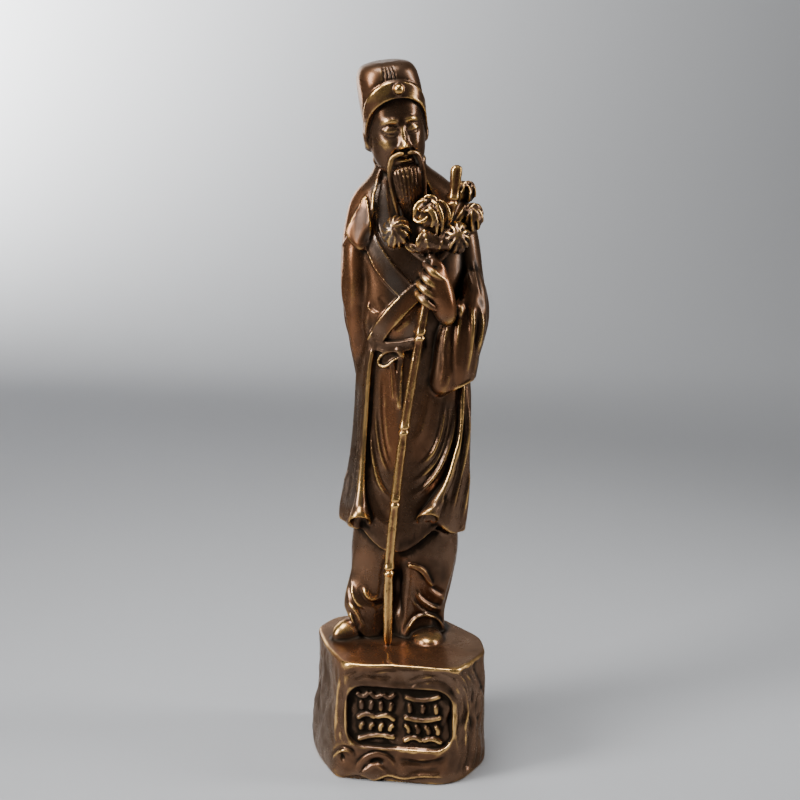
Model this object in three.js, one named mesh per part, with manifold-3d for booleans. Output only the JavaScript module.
// A cast brass figure of an old physician in a tall cap and layered robes, standing on a block of rock.
// The left hand holds a bamboo staff with herb flowers, and the right arm is behind the back.
// Millimetres, +Z up, the front towards -Y, the origin under the middle of the rock.
import * as THREE from "three";
import { mergeVertices } from "three/addons/utils/BufferGeometryUtils.js";
import Module from "manifold-3d";

const wasm = await Module();
wasm.setup();

// Driving dimensions
const HEIGHT = 229;
const ROCK_WIDTH = 60;
const ROCK_DEPTH = 50;
const ROCK_HEIGHT = 40;
const FIGURE_TURN = 9.5; // degrees that the figure is turned on the rock
const FIGURE_AT = [-0.7, 8.7]; // where its axis stands on the rock
const CLOTH = 1.3; // thickness of a hem
const STAFF_RADIUS = 1.5;
const PANEL = { width: 34, height: 20.5, x: 4.5, z: 22.3, corner: 5.5, depth: 1.3 };
const BRASS = { color: 0x7a4a26, roughness: 0.35, metalness: 0.9 };

const { degToRad, clamp, smoothstep } = THREE.MathUtils;
const bump = (distance, width) => Math.exp(-((distance / width) ** 2));
const wrapTurn = (turn) => ((((turn + 180) % 360) + 360) % 360) - 180;

// Values between stations [where, value, value, ...], on a smooth curve through all of them.
function profile(stations) {
  const last = stations.length - 1;
  return (where) => {
    const at = clamp(where, stations[0][0], stations[last][0]);
    let i = 0;
    while (i < last - 1 && at > stations[i + 1][0]) i += 1;
    const [before, from, to, after] = [i - 1, i, i + 1, i + 2].map(
      (k) => stations[clamp(k, 0, last)],
    );
    const span = to[0] - from[0];
    const t = (at - from[0]) / span;
    const [t2, t3] = [t * t, t * t * t];
    return from.slice(1).map((value, k) => {
      const slopeIn = ((to[k + 1] - before[k + 1]) / (to[0] - before[0])) * span;
      const slopeOut = ((after[k + 1] - from[k + 1]) / (after[0] - from[0])) * span;
      return (
        value * (2 * t3 - 3 * t2 + 1) +
        slopeIn * (t3 - 2 * t2 + t) +
        to[k + 1] * (3 * t2 - 2 * t3) +
        slopeOut * (t3 - t2)
      );
    });
  };
}

// A closed body through rings of points, each end closed at its middle or at the point given for it.
function loft(rings, firstMiddle, lastMiddle) {
  const count = rings[0].length;
  const middle = (ring) =>
    ring.reduce((sum, p) => sum.map((v, k) => v + p[k] / ring.length), [0, 0, 0]);
  const points = [...rings.flat(), firstMiddle ?? middle(rings[0]), lastMiddle ?? middle(rings.at(-1))];
  const [first, last] = [points.length - 2, points.length - 1];
  const top = (rings.length - 1) * count;
  const faces = [];
  for (let j = 0; j < count; j += 1) {
    const next = (j + 1) % count;
    for (let row = 0; row < top; row += count) {
      faces.push(row + j, row + next, row + count + next, row + j, row + count + next, row + count + j);
    }
    faces.push(first, next, j, last, top + j, top + next);
  }
  return facingOut(points, faces);
}

// The mesh of the points and faces, turned so that its faces look outwards.
function facingOut(points, faces) {
  let volume = 0;
  for (let i = 0; i < faces.length; i += 3) {
    const [a, b, c] = [points[faces[i]], points[faces[i + 1]], points[faces[i + 2]]];
    volume +=
      a[0] * (b[1] * c[2] - b[2] * c[1]) +
      a[1] * (b[2] * c[0] - b[0] * c[2]) +
      a[2] * (b[0] * c[1] - b[1] * c[0]);
  }
  return new THREE.BufferGeometry()
    .setAttribute("position", new THREE.Float32BufferAttribute(points.flat(), 3))
    .setIndex(volume < 0 ? faces.reverse() : faces);
}

// Horizontal rings: at(turn, row) gives a point. Turn 0 faces -Y and 90 faces +X, in degrees.
// Crowding above 0 brings the columns closer together at the front.
function turned(rows, columns, at, firstMiddle, lastMiddle, crowding = 0) {
  const turns = Array.from({ length: columns }, (_, j) => wrapTurn((360 * j) / columns));
  const crowded = turns.map((turn) => turn - crowding * Math.sin(degToRad(turn)));
  const rings = rows.map((row) => crowded.map((turn) => at(turn, row)));
  return loft(rings, firstMiddle, lastMiddle);
}

const steps = (from, to, count) =>
  Array.from({ length: count + 1 }, (_, i) => from + ((to - from) * i) / count);

// A point on a rounded oval: squareness 2 is an ellipse, more is boxier.
function onOval(turn, [cx, cy, rx, ry], squareness = 2.3, grow = 0) {
  const [s, c] = [Math.sin(degToRad(turn)), Math.cos(degToRad(turn))];
  const size = (Math.abs(s) ** squareness + Math.abs(c) ** squareness) ** (-1 / squareness);
  return [cx + (rx + grow) * size * s, cy - (ry + grow) * size * c];
}

// A limb along a smooth path of [x, y, z, half width, half depth], its width lying along `across`.
function limb(stations, sides, segments, across = [1, 0, 0]) {
  const path = profile(stations.map((s, i) => [i, ...s]));
  const ends = stations.length - 1;
  const nearby = 0.05;
  const rings = steps(0, ends, segments).map((at) => {
    const [x, y, z, wide, deep] = path(at);
    const ahead = new THREE.Vector3(...path(at + nearby))
      .sub(new THREE.Vector3(...path(at - nearby)))
      .normalize();
    const side = new THREE.Vector3(...across).projectOnPlane(ahead).normalize();
    const front = new THREE.Vector3().crossVectors(ahead, side);
    return Array.from({ length: sides }, (_, j) => {
      const angle = (2 * Math.PI * j) / sides;
      return new THREE.Vector3(x, y, z)
        .addScaledVector(side, wide * Math.cos(angle))
        .addScaledVector(front, deep * Math.sin(angle))
        .toArray();
    });
  });
  return loft(rings);
}

// An egg shape, which is a sphere stretched to its half sizes, then turned and moved.
function egg([x, y, z], [rx, ry, rz], turns = [0, 0, 0], detail = [12, 8]) {
  const geometry = new THREE.SphereGeometry(1, ...detail);
  geometry.rotateX(Math.PI / 2).scale(rx, ry, rz);
  const euler = new THREE.Euler(...turns.map(degToRad));
  geometry.applyMatrix4(new THREE.Matrix4().makeRotationFromEuler(euler));
  return geometry.translate(x, y, z);
}

// A closed mesh as a manifold-3d solid, for joining and cutting.
function solid(geometry) {
  const bare = geometry.clone();
  bare.deleteAttribute("normal");
  bare.deleteAttribute("uv");
  const merged = mergeVertices(bare, 1e-4);
  return new wasm.Manifold(
    new wasm.Mesh({
      numProp: 3,
      vertProperties: merged.attributes.position.array,
      triVerts: new Uint32Array(merged.index.array),
    }),
  );
}

const joined = (geometries) => geometries.map(solid).reduce((sum, one) => sum.add(one));

// The rock: a rounded polygon of leaning facets, [turn of the normal, distance at the top, at the foot]
const ROCK_FACETS = [
  [0, 25, 25.4],
  [36, 33, 31],
  [70.6, 30, 29.6],
  [104, 27, 28],
  [133.6, 23.4, 24.6],
  [175, 24, 24.6],
  [210.4, 28.2, 28.4],
  [250, 30.4, 30],
  [290, 25.7, 29],
  [303, 24.5, 28],
];
const ROCK_SHARPNESS = 22;

function rockOutline(turn, z) {
  const sum = ROCK_FACETS.reduce((total, [facing, top, foot]) => {
    const distance = top + (foot - top) * (1 - smoothstep(z, 0, ROCK_HEIGHT));
    const reach = Math.max(0, Math.cos(degToRad(turn - facing))) / distance;
    return total + reach ** ROCK_SHARPNESS;
  }, 0);
  const radius = sum ** (-1 / ROCK_SHARPNESS);
  return [radius * Math.sin(degToRad(turn)), -radius * Math.cos(degToRad(turn))];
}

// height, share of the full outline
const rockSide = profile([
  [0, 0.965],
  [2.5, 0.99],
  [8, 1],
  [30, 1],
  [38.6, 0.995],
  [ROCK_HEIGHT, 0.975],
]);
const ROCK_ROWS = [0, 2.5, 12, 25, 38.6, ROCK_HEIGHT];
const ROCK_COLUMNS = 34;

function looseRockPoint(turn, z) {
  const [share] = rockSide(z);
  const panelKeep = 1 - bump(wrapTurn(turn - 8), 36);
  const flow = turn * 0.16 + z * 0.13;
  const relief = -0.014 * panelKeep * (1 + Math.sin(flow * 3) + 0.5 * Math.sin(flow * 5.3 - z * 0.2));
  const fit = share + relief * smoothstep(z, 2, 8) * (1 - smoothstep(z, 34, 39));
  return rockOutline(turn, z).map((v) => v * fit);
}

function rockBody() {
  const point = (turn, z) => [...looseRockPoint(turn, z), z];
  const loose = turned(ROCK_ROWS, ROCK_COLUMNS, point, [0, 0, 0], [0, 0, ROCK_HEIGHT]);
  loose.computeBoundingBox();
  const { min, max } = loose.boundingBox;
  return loose
    .translate(-(min.x + max.x) / 2, -(min.y + max.y) / 2, 0)
    .scale(ROCK_WIDTH / (max.x - min.x), ROCK_DEPTH / (max.y - min.y), 1);
}

function rock() {
  const face = -ROCK_DEPTH / 2;
  const shape = new THREE.Shape();
  const [w, h, r] = [PANEL.width / 2, PANEL.height / 2, PANEL.corner];
  shape.absarc(w - r, h - r, r, 0, Math.PI / 2);
  shape.absarc(r - w, h - r, r, Math.PI / 2, Math.PI);
  shape.absarc(r - w, r - h, r, Math.PI, 1.5 * Math.PI);
  shape.absarc(w - r, r - h, r, 1.5 * Math.PI, 2 * Math.PI);
  const reach = 5; // how far the cutter stands out of the rock
  const recess = new THREE.ExtrudeGeometry(shape, { depth: reach, bevelEnabled: false, curveSegments: 3 });
  recess.rotateX(Math.PI / 2).translate(PANEL.x, face + PANEL.depth, PANEL.z);
  return solid(rockBody()).subtract(solid(recess)).add(joined(panelStrokes(face + PANEL.depth)));
}

// Rows of short raised strokes in the recessed panel, in two blocks. They are no letters.
const STROKES = { perRow: [2, 1, 3, 2], blockWidth: 12.6, blockOffset: 7.4, pitch: 4.1, gap: 1.5, tilt: 8 };

function panelStrokes(floor) {
  const { perRow, blockWidth, blockOffset, pitch, gap, tilt } = STROKES;
  const strokes = [];
  for (const block of [-1, 1]) {
    for (const [row, count] of perRow.entries()) {
      for (let k = 0; k < count; k += 1) {
        const x = PANEL.x + block * blockOffset + ((k + 0.5) / count - 0.5) * blockWidth;
        const z = PANEL.z + ((perRow.length - 1) / 2 - row) * pitch;
        const bar = new THREE.BoxGeometry(blockWidth / count - gap, 1.6, count === 3 ? 3 : 1.8);
        strokes.push(bar.rotateY(degToRad(block * (k - 0.7) * tilt)).translate(x, floor + 0.1, z));
      }
    }
  }
  return strokes;
}

// The robes, from the inside out. Stations: height, centre x, centre y, half width, half depth
const gownSize = profile([
  [38, -1.2, 1.4, 16.0, 11.2],
  [46, -0.9, 1.4, 15.4, 10.4],
  [57, 0.6, 1.2, 16.8, 10.2],
  [70, 1.6, 1.0, 17.8, 10.6],
  [92, 2.4, 1.0, 15.8, 9.0],
]);
const skirtSize = profile([
  [70, 0.8, 0.6, 18.2, 12.6],
  [80, 1.4, 0.6, 18.4, 12.2],
  [96, 3.0, 0.6, 18.4, 11.4],
  [115, 3.8, 0.4, 17.6, 11.4],
  [132, 3.8, 0.2, 16.6, 11.4],
  [142, 3.6, 0.0, 15.8, 11.2],
]);
const coatSize = profile([
  [75, 0.9, 0.6, 20.6, 12.8],
  [82, 1.3, 0.6, 21.2, 12.8],
  [88, 2.1, 0.6, 21.0, 12.7],
  [96, 3.1, 0.7, 20.3, 12.5],
  [107, 3.8, 0.8, 19.6, 12.4],
  [120, 4.0, 0.6, 18.9, 12.2],
  [132, 4.0, 0.2, 17.8, 12.0],
  [142, 3.8, 0.0, 16.6, 11.6],
]);
const chestSize = profile([
  [132, 3.8, 0.2, 16.4, 11.2],
  [139, 3.5, 0.0, 16.2, 11.2],
  [148, 3.6, -0.4, 17.0, 12.2],
  [160, 3.6, 0.0, 17.6, 12.0],
  [172, 3.2, 0.6, 18.4, 11.0],
  [180, 2.9, 1.2, 17.6, 9.8],
  [186, 2.6, 1.8, 15.0, 8.8],
  [190, 2.2, 2.2, 11.6, 7.8],
  [194, 0.8, 2.2, 8.0, 7.0],
  [198, -0.6, 2.0, 6.2, 6.2],
]);
const capeSize = profile([
  [166, 3.4, 0.8, 21.9, 13.4],
  [173, 3.3, 0.8, 21.7, 13.0],
  [179, 3.2, 1.0, 20.6, 12.0],
  [184, 2.9, 1.4, 19.0, 11.0],
  [188, 2.3, 1.8, 16.2, 10.0],
  [192, 1.8, 2.2, 12.0, 8.8],
  [195, 0.6, 2.4, 9.0, 7.8],
  [198, -0.6, 2.2, 6.8, 6.8],
]);
const SQUARENESS = 2.35;

const chestPoint = (turn, z) => [...onOval(turn, chestSize(z), SQUARENESS), z];

// Where the front of an oval body lies at x, and how far it stands out there
function frontOf(size, x, z, out = 0) {
  const [cx, cy, rx, ry] = size(z);
  const across = Math.min(0.98, Math.abs((x - cx) / rx));
  return [x, cy - ry * (1 - across ** SQUARENESS) ** (1 / SQUARENESS) - out, z];
}

// The turn at which an oval reaches x, on its front half.
function turnAt(x, [cx, cy, rx, ry]) {
  const across = clamp((x - cx) / rx, -0.995, 0.995);
  const deep = (1 - Math.abs(across) ** SQUARENESS) ** (1 / SQUARENESS);
  return (Math.atan2(across, deep) * 180) / Math.PI;
}

// A garment that is open in front: each ring runs from its right edge round the back to its left edge,
// and then crosses the opening inside the body. Rows are {z, grow, up}, the lowest first.
function openGarment(rows, columns, { size, edges, hem, inside, folds = () => 0 }) {
  const rings = rows.map(({ z, grow, up }) => {
    const height = (turn) => z + (hem(turn) - rows[0].z) * (1 - smoothstep(z, rows[0].z, rows[0].z + 18));
    const [left, right] = edges(z).map((x) => turnAt(x, size(z)));
    const point = (turn, more) => {
      const h = height(turn);
      const [x, y] = onOval(turn, size(h), SQUARENESS, grow + more + folds(turn, h));
      return [x, y, h + up];
    };
    const round = steps(right, left + 360, columns).map((turn) => point(wrapTurn(turn), 0));
    const across = steps(left, right, 4).map((turn) => point(turn, -inside));
    return [...round, ...across];
  });
  return loft(rings);
}

function gownPoint(turn, z) {
  const low = 1 - smoothstep(z, 60, 74);
  const legs = -0.42 * bump(turn + 8, 13) * low;
  const back = -0.12 * bump(wrapTurn(turn - 176), 18) * low;
  const ankles = 0.07 * Math.sin(degToRad(turn * 7 + 40)) * (1 - smoothstep(z, 42, 56));
  const [cx, cy, rx, ry] = gownSize(z);
  const grow = 1 + legs + back + ankles;
  return [...onOval(turn, [cx, cy, rx * grow, ry * grow], 2.5), z];
}

// Cloth folds that hang in a curve between the hips: [lowest height, steepness right, left, relief]
const HANGING_FOLDS = [
  [98, 0.075, 0.5, 1.0],
  [89, 0.072, 0.42, 1.1],
  [80.5, 0.07, 0.3, 1.1],
];

function skirtPoint(turn, z, grow) {
  const [x, y] = onOval(turn, skirtSize(z), SQUARENESS, grow);
  const folds = HANGING_FOLDS.reduce((sum, [low, right, left, high]) => {
    const steep = x > 0 ? right : left;
    const slope = Math.hypot(1, 2 * steep * x);
    return sum + high * bump((z - low - steep * x * x) / slope, 1.6);
  }, 0);
  const isFront = smoothstep(Math.cos(degToRad(turn)), 0.05, 0.4);
  const out = folds * isFront * (1 - smoothstep(z, 118, 130)) * smoothstep(z, 73, 78);
  return [x + out * Math.sin(degToRad(turn)), y - out * Math.cos(degToRad(turn)), z];
}

function skirt() {
  const low = 71;
  const lift = (turn, z) => 9.5 * smoothstep(Math.abs(turn + 8), 4, 56) * (1 - smoothstep(z, low, 92));
  const heights = [low, 76, 81, 86, 91, 97, 105, 118, 142];
  const rows = [[low, -3, 6], [low, -CLOTH, 0], ...heights.map((z) => [z, 0, 0])];
  return turned(rows, 22, (turn, [z, grow, up]) => {
    const [x, y, height] = skirtPoint(turn, z + lift(turn, z), grow);
    return [x, y, height + up];
  });
}

// The coat below the sash: its front edges part and end in rolled folds
const coatEdges = profile([
  [75, -13.8, 7.4],
  [84, -13.4, 8.2],
  [90, -12.6, 11.4],
  [101, -11.4, 15.6],
  [115, -9.8, 18.8],
  [138, -7.4, 19.0],
  [142, -7.2, 18.6],
]);

function coat() {
  const hem = (turn) => {
    const left = 78.4 + 1.6 * bump(turn + 88, 20);
    const right = 75.6 + 6 * bump(turn - 22, 18);
    const waves = 1.3 * Math.sin(degToRad(turn * 6)) * smoothstep(Math.abs(turn), 90, 120);
    return (turn < 0 ? left : right) + waves;
  };
  const folds = (turn, z) => {
    const side = smoothstep(Math.abs(turn), 40, 70) * (1 - smoothstep(z, 108, 136));
    return (0.8 * Math.sin(degToRad(turn * 9 + 2 * z)) - 0.3) * side;
  };
  const heights = [75, 80, 87, 97, 110, 126, 142];
  const rows = [
    { z: 75, grow: -3.4, up: 6 },
    { z: 75, grow: -CLOTH, up: 0 },
    ...heights.map((z) => ({ z, grow: 0, up: 0 })),
  ];
  return openGarment(rows, 23, { size: coatSize, edges: coatEdges, hem, inside: 4.4, folds });
}

// The short cape on the shoulders, with a leaf-shaped flap at each side of the neck
function cape() {
  const side = profile([
    [30, 169.8],
    [42, 169.4],
    [62, 175],
    [72, 174],
    [86, 169.4],
    [180, 167.4],
  ]);
  const waves = (turn) => 0.9 * Math.sin(degToRad(turn * 8)) * smoothstep(Math.abs(turn), 90, 110);
  const hem = (turn) => side(Math.abs(turn))[0] + waves(turn);
  const edges = profile([
    [166, -12.6, 17],
    [170, -11.8, 16.4],
    [175, -9.8, 14.6],
    [180, -8.4, 12.6],
    [187, -8.2, 10.4],
    [198, -5, 4],
  ]);
  const rows = [
    { z: 166, grow: -2.4, up: 4 },
    { z: 166, grow: -CLOTH, up: 0 },
    ...[166, 173, 180, 187, 198].map((z) => ({ z, grow: 0, up: 0 })),
  ];
  return openGarment(rows, 21, { size: capeSize, edges, hem, inside: 5 });
}

// A rolled fold: a tube that widens down to an open mouth, whose front lip stands higher than its back.
const MOUTH_SLANT = 5.4;
function rolledFold(stations) {
  const path = profile(stations.map((s, i) => [i, ...s]));
  const end = stations.length - 1;
  const ring = (at, share) => {
    const [x, y, z, radius] = path(at);
    const slant = (MOUTH_SLANT / 2) * smoothstep(at, end - 0.7, end);
    return steps(0, 2 * Math.PI, 8)
      .slice(0, -1)
      .map((angle) => [Math.sin(angle), -Math.cos(angle)])
      .map(([across, ahead]) => [
        x + radius * share * across,
        y + radius * share * ahead,
        z + slant * (1 - ahead),
      ]);
  };
  const outside = [...steps(0, end - 0.6, 4), end].map((at) => ring(at, 1));
  return loft([...outside, ring(end, 0.62), ring(end - 0.35, 0.5)]);
}

const onCoat = (x, z, radius, out = 0) => [...frontOf(coatSize, x, z, out), radius];
const ROLLED_LEFT = [
  onCoat(-7.4, 138, 0.6),
  onCoat(-9.8, 115, 0.9),
  onCoat(-12.2, 92, 1.5),
  onCoat(-13.1, 78.4, 3.3, 1.4),
];
const ROLLED_RIGHT = [
  onCoat(20, 124, 0.7),
  onCoat(15.6, 101, 1.1),
  onCoat(11.4, 90.5, 1.6),
  onCoat(8.2, 80.2, 3.0, 1.3),
];

// A flat band laid along points on the body: half width and thickness stay the same.
const band = (points, halfWidth, thickness, count = 5, across = [1, 0, 0]) =>
  limb(points.map((p) => [...p, halfWidth, thickness]), 6, count, across);
const onChest = (x, z, out = 0) => frontOf(chestSize, x, z, out);

const SASH_HEIGHT = 139.2;
const SASH_LOOP = [
  [-0.6, -12.6, 138.4],
  [-4.8, -12.6, 138],
  [-6.2, -12.2, 134.6],
  [-4.2, -12.4, 131.8],
  [-2.2, -12.4, 134.6],
];

function clothes() {
  return [
    turned([38, 43, 50, 58, 67, 92], 20, gownPoint),
    skirt(),
    coat(),
    turned([132, 142, 152, 163, 175, 187, 198], 16, chestPoint),
    cape(),
    rolledFold(ROLLED_LEFT),
    rolledFold(ROLLED_RIGHT),
    // the collar of the under-robe, the lapel, and the front that crosses over both
    band([onChest(-6.4, 190), onChest(-5, 181), onChest(-1.6, 171)], 2.6, 0.8, 4),
    band([onChest(-9.4, 184), onChest(-8.4, 174), onChest(-4.6, 165.4), onChest(0.6, 158)], 2.1, 1.3),
    band([onChest(14, 166, 1), onChest(6, 155.6, 1.2), onChest(-2, 148, 0.9), onChest(-8, 143)], 1.7, 1.3),
    // the sash with its knot, loop and hanging ends
    turned([-2.8, -1.8, 1.8, 2.8], 18, (turn, up) => {
      const grow = Math.abs(up) < 2 ? 0.7 : -2;
      return [...onOval(turn, coatSize(SASH_HEIGHT), SQUARENESS, grow), SASH_HEIGHT + up];
    }),
    egg([-0.2, -12.6, 138.4], [2, 1.5, 2.2], [0, 0, 0], [7, 5]),
    band(SASH_LOOP, 0.8, 0.9, 8, [0, 1, 0]),
    band([[-1, -12, 138], [-1.2, -12, 124], [-0.8, -12, 110]], 1.3, 0.8, 3),
    band([[1.6, -12, 138], [2.2, -12.2, 126], [2.6, -12, 114]], 1.2, 0.8, 3),
    // the end of a strap on the gown
    band([[1.8, -8.4, 66.4], [6.6, -9.8, 66], [9, -9.9, 63.4], [10.6, -9.6, 59.4]], 1, 0.9, 5),
  ];
}

// The sleeve that hangs from the left arm: a bag whose lower edge rises to the side
function hangingSleeve() {
  const size = profile([
    [123, 17.4, -8.2, 6.9, 4.6],
    [128, 18.2, -8.2, 6.8, 5.4],
    [135, 19.2, -7.8, 6.4, 6.2],
    [145, 20.8, -7, 7.0, 7],
    [152, 22.2, -6, 5.8, 7],
    [158, 22.8, -4.6, 4.4, 6],
    [163, 22.4, -3, 3, 4],
  ]);
  return turned([123, 127, 133, 140, 147, 154, 163], 20, (turn, z) => {
    const mouth = bump(turn + 66, 26) * (1 - smoothstep(z, 146, 156)) * smoothstep(z, 124, 130);
    const folds = 0.1 * Math.sin(degToRad(turn * 8)) * (1 - smoothstep(z, 150, 162)) * (1 - mouth);
    const [cx, cy, rx, ry] = size(z);
    const grow = 1 + folds - 0.4 * mouth;
    const [x, y] = onOval(turn, [cx, cy, rx * grow, ry * grow], 2.1);
    return [x, y, z + 0.4 * (x - 11) * (1 - smoothstep(z, 123, 140))];
  });
}

// The arms: the right one goes behind the back, the left one comes forward to the staff.
// Stations: x, y, z, half width, half depth
const RIGHT_ARM = [
  [-5, 1.6, 189, 4, 5],
  [-10.2, 1, 183, 4.9, 6.6],
  [-12.9, 0.4, 173.6, 5.3, 7.4],
  [-13.6, 0.2, 163, 5.5, 7.8],
  [-13.2, 1.4, 152, 5.5, 7.8],
  [-11.2, 4.8, 142, 5, 6.6],
  [-5, 9.4, 137, 4.6, 4.2],
  [3, 11.2, 137.5, 3.6, 3.2],
];
const RIGHT_SLEEVE = [
  [-10.6, 3.6, 144, 4.2, 6],
  [-10.2, 5.4, 135, 5.2, 5.6],
  [-8.2, 8.6, 125, 5.8, 4],
  [-6.4, 11.2, 112, 5.2, 2.4],
];
const RIGHT_FIST = [
  [1, 11.4, 137.4, 2.4, 2.2],
  [5.4, 12.6, 137, 3.2, 2.4],
  [8.6, 12.4, 135.6, 2.2, 1.9],
];
const LEFT_ARM = [
  [11, 1.6, 189, 4, 4.6],
  [16.8, 1, 183.4, 4.8, 5.8],
  [20, 0.6, 173.6, 5, 6.4],
  [21.6, 0.2, 162, 5.1, 6.6],
  [22.8, -1.2, 152.6, 5.1, 6.4],
  [21.6, -3, 145, 4.6, 5.6],
];
const LEFT_FOREARM = [
  [22.4, -2, 151, 4.4, 5],
  [19.4, -8, 150.6, 3.6, 4.2],
  [15.8, -13.4, 152, 2.5, 3.2],
];

function arms() {
  return [
    limb(RIGHT_ARM, 12, 10),
    limb(RIGHT_SLEEVE, 10, 4),
    limb(RIGHT_FIST, 8, 3, [0, 0, 1]),
    limb(LEFT_ARM, 12, 7),
    limb(LEFT_FOREARM, 8, 2, [0, 0, 1]),
    hangingSleeve(),
  ];
}

// The staff: a cane with a ring at each joint
const STAFF_PATH = [
  [-4.1, -15.4, 39.5],
  [-3.6, -15.2, 66],
  [-1.6, -15, 89],
  [1.3, -15, 113],
  [6.3, -15.2, 143.5],
  [8.8, -15.4, 157],
  [10.6, -14.8, 167],
  [14.2, -13, 177],
  [16.5, -12, 185.5],
  [17.6, -12, 196.6],
];
const CANE_JOINTS = [66, 89, 113, 143.5, 167, 185.5];

function staff() {
  const path = profile(STAFF_PATH.map(([x, y, z]) => [z, x, y]));
  const [foot, tip] = [STAFF_PATH[0][2], STAFF_PATH.at(-1)[2]];
  const rows = [[foot, 0.8], [foot + 8, 1.1]];
  for (const joint of CANE_JOINTS) rows.push([joint - 2.4, 0.92], [joint, 1.3], [joint + 2.4, 0.92]);
  rows.push([tip - 2, 1.15], [tip, 0.7]);
  const rings = rows.map(([z, share]) => {
    const [x, y] = path(z);
    return steps(0, 2 * Math.PI, 6)
      .slice(0, -1)
      .map((a) => [x + STAFF_RADIUS * share * Math.sin(a), y - STAFF_RADIUS * share * Math.cos(a), z]);
  });
  return loft(rings);
}

// The left fist round the staff: the back of the hand, the thumb, and four fingers one above the other
const FINGERS = [
  [8.0, 165.2],
  [6.8, 162.3],
  [6.0, 159.2],
  [5.6, 156.0],
];

const HAND_BACK = [
  [16.4, -13, 149.6, 2.6, 3.4],
  [14.8, -14.6, 153.4, 3.1, 4.4],
  [12.2, -15.6, 158.4, 3.1, 5],
  [10.4, -15.2, 162.6, 2.2, 3.6],
];
const THUMB = [
  [13.6, -14.6, 159, 1.6, 1.6],
  [12.8, -15.6, 163.6, 1.5, 1.5],
  [10.4, -16.4, 166.6, 1.2, 1.2],
];

function fist() {
  const fingers = FINGERS.map(([x, z], k) =>
    limb(
      [
        [x + 3.4, -12.6, z + 1, 1.1, 1.1],
        [x + 0.4, -14.2, z + 0.8, 1.3, 1.3],
        [x + 0.6, -17, z, 1.4, 1.4],
        [x + 3.4, -18.2, z - 1.6, 1.45, 1.45],
        [x + 7 - 0.4 * k, -17, z - 4.2, 1.4, 1.4],
      ],
      5,
      4,
      [0, 0, 1],
    ),
  );
  const back = limb(HAND_BACK, 10, 5, [0, 1, 0]);
  const thumb = limb(THUMB, 6, 3);
  return [back, thumb, ...fingers];
}

// The herb flowers: [x, y, z, radius, petals]
const FLOWERS = [
  [-0.6, -14.2, 175.2, 5.3, 9],
  [9.3, -15, 182, 5.4, 8],
  [17.4, -15, 174.4, 5.3, 10],
  [24.0, -9, 180.2, 3.4, 7],
  [21.3, -6, 187.7, 3.3, 6],
];

function flowers() {
  const heads = FLOWERS.map(([x, y, z, radius, petals]) =>
    turned(steps(-0.92, 0.92, 4), petals * 2, (turn, height) => {
      const round = Math.sqrt(1 - height * height);
      const lobe = 1 + 0.1 * Math.cos(degToRad(turn * petals) + height * 2);
      return [
        x + radius * round * lobe * Math.sin(degToRad(turn)),
        y + radius * 0.8 * height,
        z + radius * round * lobe * Math.cos(degToRad(turn)),
      ];
    }),
  );
  const stem = [10.4, -14, 166.5];
  const stems = FLOWERS.map(([x, y, z]) => {
    const halfway = [(x + stem[0]) / 2, (y + stem[1]) / 2, (z + stem[2]) / 2 - 1];
    return limb([[...stem, 1.4, 1.4], [...halfway, 1.5, 1.5], [x, y, z, 1.4, 1.4]], 4, 2);
  });
  const leaf = limb([[10, -14, 167, 1.4, 1.4], [9.2, -15.6, 171, 4.6, 2], [9.4, -15, 178, 3.4, 2]], 8, 3);
  return [...heads, ...stems, leaf];
}

// The head, in its own frame with the face towards -Y, then bowed, leaned and turned
const HEAD_AT = [-1.2, -3.6, HEIGHT - 22.7];
const HEAD_TURNS = [7, -6, 13]; // bow, lean, turn in degrees
const skullSize = profile([
  [-13, 0, -3.4, 3.2, 4.2],
  [-11.4, 0, -2.4, 5.6, 6.4],
  [-8, 0, -1.0, 7.7, 7.9],
  [-3, 0, -0.2, 8.7, 9.0],
  [3, 0, 0.2, 8.8, 9.4],
  [8, 0, 0.4, 8.6, 9.4],
  [14, 0, 1.2, 7.4, 8.4],
]);

// How far the face stands forward of the plain head, from x across it and z up it
function faceRelief(x, z) {
  const nose = 2.9 * bump(x, 1.5 - 0.05 * z) * smoothstep(z, -5, -3.4) * (1 - smoothstep(z, -3.6, 4.6));
  const brow = 0.8 * bump(z - 4.4, 1.6) * bump(Math.abs(x) - 3.4, 2.6);
  const sockets = -1.2 * bump(z - 1.8, 1.8) * bump(Math.abs(x) - 3.5, 2.0);
  const eyes = 0.9 * bump(z - 1.6, 0.9) * bump(Math.abs(x) - 3.5, 1.4);
  const cheeks = 0.8 * bump(z + 2.8, 2.4) * bump(Math.abs(x) - 4.6, 2.2);
  const lips = 0.8 * bump(z + 7.4, 1.1) * bump(x, 2.4);
  const chin = 0.9 * bump(z + 11, 1.8) * bump(x, 2.8);
  return nose + brow + sockets + eyes + cheeks + lips + chin;
}

const capSize = profile([
  [-9, 0, 2.4, 8.6, 7.8],
  [-3, 0, 1.4, 9.4, 9.0],
  [4, -0.2, 0.9, 9.6, 9.9],
  [12, -0.5, 0.7, 9.8, 10.1],
  [18, -0.9, 0.9, 9.4, 9.5],
  [20.8, -1, 1.0, 8.1, 8.2],
  [22, -1, 1.0, 5.2, 5.2],
]);
const capEdge = (turn) => {
  const arch = 15.8 * Math.min(1, Math.abs(turn) / 90) ** 2.2;
  return 11.6 - arch - 3 * smoothstep(Math.abs(turn), 90, 150);
};

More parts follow.
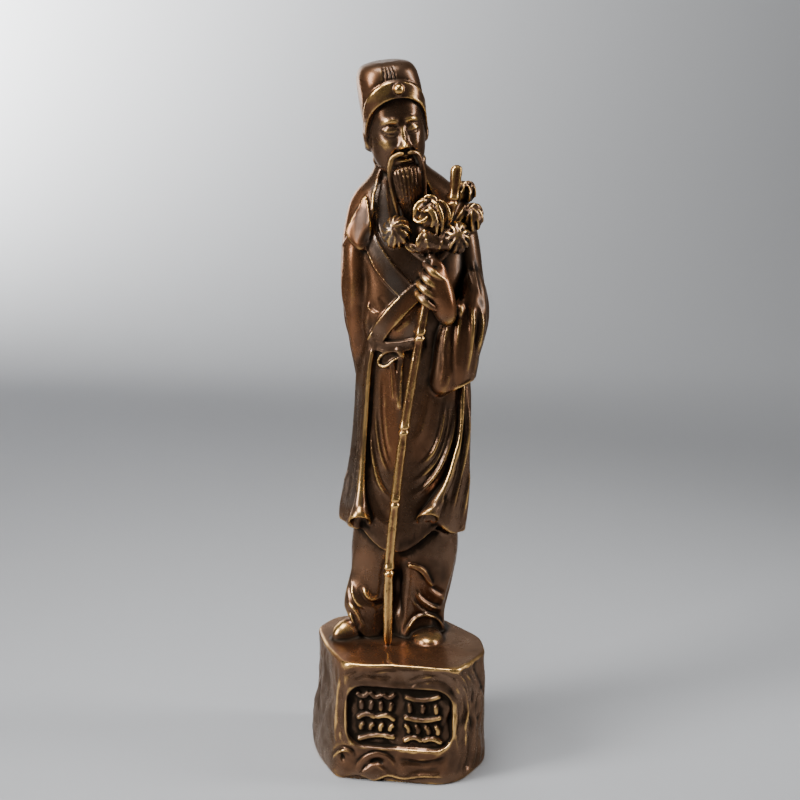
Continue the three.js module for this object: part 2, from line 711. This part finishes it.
// The cap with the band round its edge: share of the band's height, share of the way up from it, grow
const CAP_TOP = 22;
const CAP_ROWS = [
  [0, 0, -2.5],
  [0, 0, 0.6],
  [0.9, 0, 0.6],
  [1, 0, 0],
  [1, 0.4, 0],
  [1, 0.74, 0],
  [1, 0.93, 0],
  [1, 1, 0],
];
const BEARD = [
  [0, -7, -9.4, 5.6, 2.6],
  [0.2, -8.6, -13, 4.8, 2.6],
  [0.6, -8.8, -20, 4, 2.2],
  [0.9, -7.4, -28, 2, 1.2],
];
const MOUSTACHE = [
  [0.5, -10.6, -5.6, 0.9, 0.8],
  [3.4, -9.9, -6.6, 1.1, 0.9],
  [4.8, -9.3, -11, 1, 0.9],
  [4.3, -10, -20, 0.8, 0.8],
  [2.9, -9.2, -26, 0.6, 0.6],
];

function head() {
  const facePoint = (turn, z) => {
    const [x, y] = onOval(turn, skullSize(z), 2.2);
    return [x, y - (Math.abs(turn) < 80 ? faceRelief(x, z) : 0), z];
  };
  const faceRows = [-13, -11.2, -8.8, -7.2, -5.6, -3.8, -1, 1.6, 4.4, 8, 12];
  const skull = turned(faceRows, 20, facePoint, undefined, undefined, 32);
  const bandHeight = (turn) => 5.2 + 0.9 * smoothstep(Math.abs(turn), 20, 80);
  const cap = turned(CAP_ROWS, 20, (turn, [bandShare, share, grow]) => {
    const low = capEdge(turn) + bandShare * bandHeight(turn);
    const height = low + share * (CAP_TOP - low);
    return [...onOval(turn, capSize(height), 2.4, grow), height];
  });
  const jewel = egg([0, -10.4, 14.3], [1.5, 1.3, 1.5], [0, 0, 0], [7, 5]);
  const ears = [-1, 1].map((side) => egg([side * 8.9, 0, -1.6], [1, 1.8, 3], [0, 0, 0], [6, 5]));
  const neck = limb([[0, 1.6, -4, 6.2, 6.2], [0, 2.6, -15, 7.2, 6.8]], 12, 2);
  const beard = limb(BEARD, 10, 6);
  const strand = (side) => limb(MOUSTACHE.map(([x, ...rest]) => [side * x, ...rest]), 6, 6);
  const moustache = [-1, 1].map(strand);
  const place = new THREE.Matrix4()
    .makeRotationFromEuler(new THREE.Euler(...HEAD_TURNS.map(degToRad), "ZYX"))
    .setPosition(...HEAD_AT);
  return [skull, cap, jewel, ...ears, neck, beard, ...moustache].map((g) => g.applyMatrix4(place));
}

// The shoes, one to the front and one turned outwards
function shoes() {
  return [
    egg([8.6, -8.6, 40.4], [4.9, 6.6, 3.8], [0, 0, 6], [10, 6]),
    egg([-15.4, -4.8, 41.4], [4.6, 8, 4.4], [0, 0, -48], [10, 6]),
  ];
}

// The whole casting, as one solid
function casting() {
  const figure = joined([...clothes(), ...arms(), staff(), ...fist(), ...flowers(), ...head(), ...shoes()]);
  const place = new THREE.Matrix4()
    .makeRotationZ(degToRad(FIGURE_TURN))
    .setPosition(...FIGURE_AT, 0);
  const whole = rock().add(figure.transform(place.elements));
  const shells = whole.decompose().sort((a, b) => b.volume() - a.volume());
  const { vertProperties, triVerts } = shells[0].getMesh();
  return new THREE.BufferGeometry()
    .setAttribute("position", new THREE.BufferAttribute(vertProperties, 3))
    .setIndex(new THREE.BufferAttribute(triVerts, 1));
}

const figure = new THREE.Mesh(casting(), new THREE.MeshStandardMaterial(BRASS));
figure.name = "figure_on_rock";
const part = new THREE.Group();
part.add(figure);

export default part;
